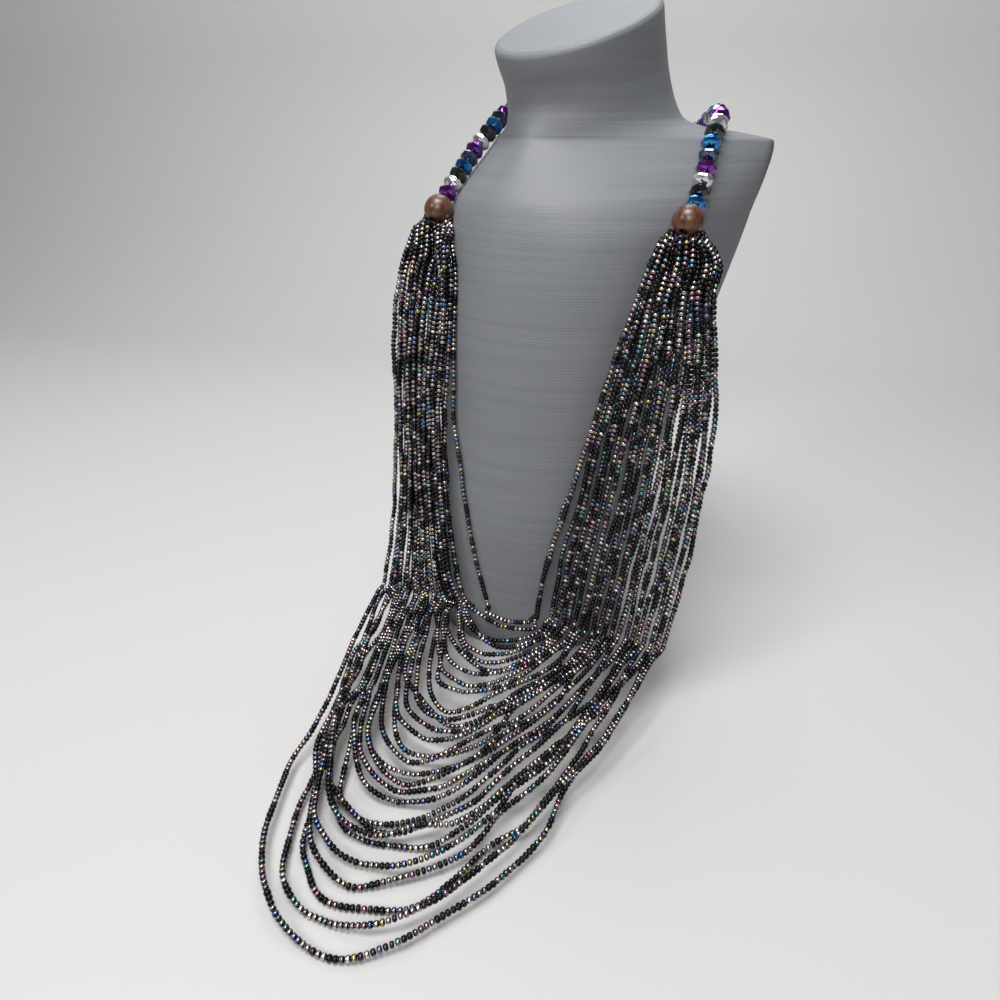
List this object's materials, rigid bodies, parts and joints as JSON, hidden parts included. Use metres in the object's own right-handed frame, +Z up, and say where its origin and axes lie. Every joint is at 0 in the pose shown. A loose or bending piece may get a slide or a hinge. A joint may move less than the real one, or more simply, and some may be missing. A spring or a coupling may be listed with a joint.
{
  "type": "multi strand necklace on a neck bust",
  "caption": "Long necklace of many seed bead strands gathered at two wood beads and a string of cut crystals, lying on a plain neck bust and the floor before it.",
  "frame": {"origin": "middle of the bust's foot, on the surface that it stands on", "axes": "+Z up, the bust faces -Y, +X to the right of a viewer in front of it"},
  "size_m": [0.1625, 0.2714, 0.2635],
  "materials": {
    "bust": "matte, fine level layer lines",
    "wood": "satin reddish brown, mottled grain",
    "crystal_blue": "faceted, metallic blue coat",
    "crystal_black": "faceted, jet black",
    "crystal_silver": "faceted, silver-white coat",
    "crystal_purple": "faceted, purple coat with an orange flash",
    "crystal_grey": "faceted, dark grey-blue metallic coat",
    "crystal_mixed": "faceted, the five coats in turn",
    "thread": "fine grey thread",
    "seed_beads": "small glossy glass beads, lilac to black, rainbow coat"
  },
  "bodies": {
    "root": {"bust": "bust", "wood_bead_right": "wood", "wood_bead_left": "wood", "hidden_crystals": "crystal_mixed", "thread": "thread", "crystal_01": "crystal_blue", "crystal_02": "crystal_black", "crystal_03": "crystal_silver", "crystal_04": "crystal_purple", "crystal_05": "crystal_grey", "crystal_06": "crystal_blue", "crystal_07": "crystal_black", "crystal_08": "crystal_silver", "crystal_09": "crystal_purple", "crystal_10": "crystal_grey", "crystal_11": "crystal_blue", "crystal_12": "crystal_purple", "crystal_13": "crystal_grey", "crystal_14": "crystal_blue", "crystal_15": "crystal_black", "crystal_16": "crystal_silver", "crystal_17": "crystal_purple", "crystal_18": "crystal_grey", "crystal_19": "crystal_blue", "crystal_20": "crystal_black", "crystal_21": "crystal_silver", "crystal_22": "crystal_purple", "strand_01": "seed_beads", "strand_02": "seed_beads", "strand_03": "seed_beads", "strand_04": "seed_beads", "strand_05": "seed_beads", "strand_06": "seed_beads", "strand_07": "seed_beads", "strand_08": "seed_beads", "strand_09": "seed_beads", "strand_10": "seed_beads", "strand_11": "seed_beads", "strand_12": "seed_beads", "strand_13": "seed_beads", "strand_14": "seed_beads", "strand_15": "seed_beads", "strand_16": "seed_beads", "strand_17": "seed_beads", "strand_18": "seed_beads", "strand_19": "seed_beads", "strand_20": "seed_beads", "strand_21": "seed_beads", "strand_22": "seed_beads", "strand_23": "seed_beads", "strand_24": "seed_beads", "strand_25": "seed_beads", "strand_26": "seed_beads", "strand_27": "seed_beads", "strand_28": "seed_beads", "strand_29": "seed_beads", "strand_30": "seed_beads"}
  },
  "joints": []
}
